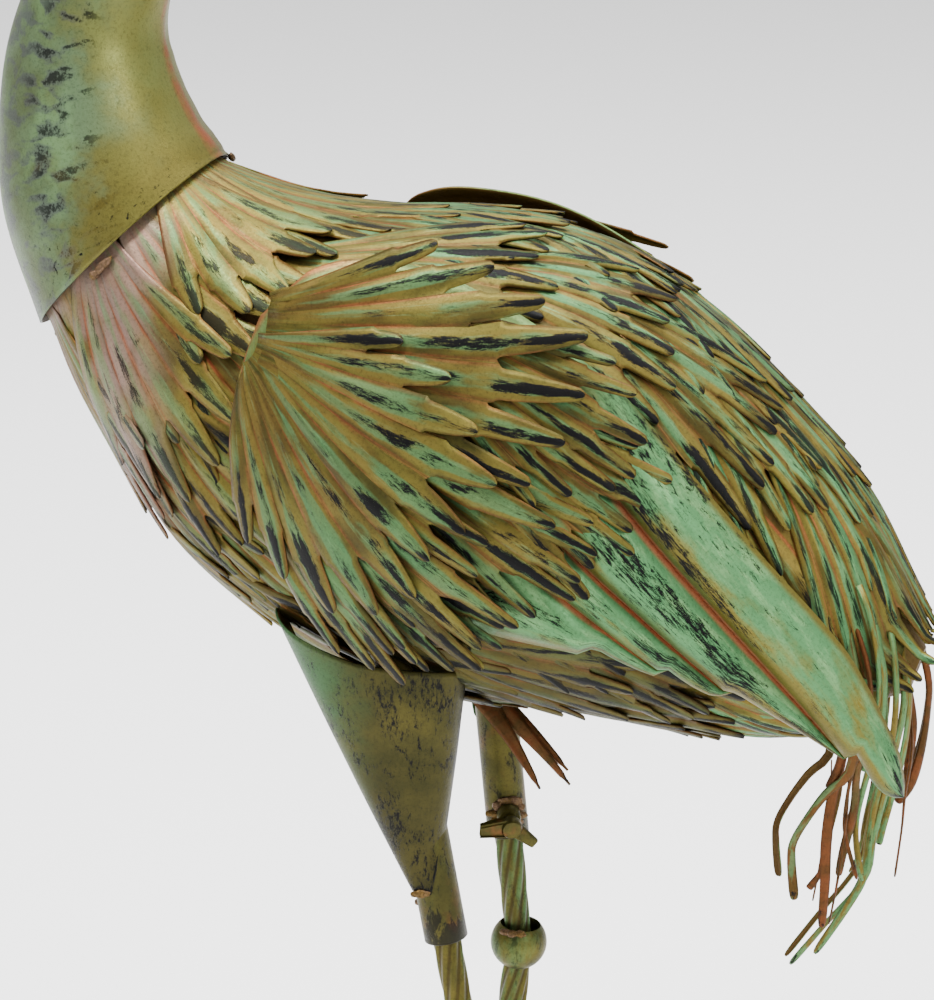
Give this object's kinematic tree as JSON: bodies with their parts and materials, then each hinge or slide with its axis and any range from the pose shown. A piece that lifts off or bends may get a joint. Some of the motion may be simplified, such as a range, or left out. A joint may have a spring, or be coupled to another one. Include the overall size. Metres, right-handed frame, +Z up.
{
  "type": "standing heron figure",
  "caption": "Standing garden heron in sheet metal: curved neck, egg-shaped body under layered fan-shaped feather plates, folded wings, tail strips and tube legs with knee balls",
  "frame": {"origin": "On the floor, under the middle of the figure's bounding box", "axes": "+Z is up, the bird faces -X and its left side faces -Y"},
  "size_m": [0.6548, 0.2548, 1.026],
  "materials": {
    "body_shell": "dark brown coat, seen only between the plates",
    "neck": "mint grey over ochre gold with black brush marks, satin",
    "head": "mint grey over ochre gold, satin",
    "crest": "dark green with black edges",
    "tail_strips": "coral brown with mint and gold, satin",
    "wing_sheet": "ochre gold with mint ridges and coral grooves, dark brown inside",
    "wing_plates": "ochre gold, mint ridges and black finger tips",
    "thigh": "mint to olive gold with black speckle",
    "legs": "dull olive gold with mint and black scuffs",
    "screws": "ochre and coral brown, worn dark",
    "feet": "dull olive gold with dark wear",
    "breast_plates": "coral pink and lilac grey over ochre with black streaks",
    "back_plates": "ochre gold, mint ridges, coral grooves and black finger tips"
  },
  "bodies": {
    "root": {"back_plate": "back_plates", "belly_front_plate": "breast_plates", "body": "body_shell", "breast_plate": "breast_plates", "crest": "crest", "head": "head", "left_belly_rear_plate": "breast_plates", "left_belly_side_plate": "breast_plates", "left_breast_side_plate": "breast_plates", "left_collar_lower_plate": "breast_plates", "left_collar_side_plate": "breast_plates", "left_collar_upper_plate": "breast_plates", "left_flank_plate": "back_plates", "left_foot": "feet", "left_knee_ball": "legs", "left_leg_rod": "legs", "left_leg_tube": "legs", "left_lower_cover": "wing_plates", "left_lower_quills": "wing_plates", "left_mantle_plate": "back_plates", "left_rump_plate": "back_plates", "left_shoulder_cover": "wing_plates", "left_shoulder_plate": "back_plates", "left_tail_side_plate": "back_plates", "left_thigh": "thigh", "left_thumb_screw": "screws", "left_upper_cover": "wing_plates", "left_upper_quills": "wing_plates", "left_wing": "wing_sheet", "loose_belly_plate": "breast_plates", "nape_plate": "back_plates", "neck": "neck", "right_belly_rear_plate": "breast_plates", "right_belly_side_plate": "breast_plates", "right_breast_side_plate": "breast_plates", "right_collar_lower_plate": "breast_plates", "right_collar_side_plate": "breast_plates", "right_collar_upper_plate": "breast_plates", "right_flank_plate": "back_plates", "right_foot": "feet", "right_knee_ball": "legs", "right_leg_rod": "legs", "right_leg_tube": "legs", "right_lower_cover": "wing_plates", "right_lower_quills": "wing_plates", "right_mantle_plate": "back_plates", "right_rump_plate": "back_plates", "right_shoulder_cover": "wing_plates", "right_shoulder_plate": "back_plates", "right_tail_side_plate": "back_plates", "right_thigh": "thigh", "right_thumb_screw": "screws", "right_upper_cover": "wing_plates", "right_upper_quills": "wing_plates", "right_wing": "wing_sheet", "tail_back_plate": "back_plates", "tail_end_plate": "back_plates", "tail_fringe": "tail_strips", "vent_plate": "breast_plates"}
  },
  "joints": []
}
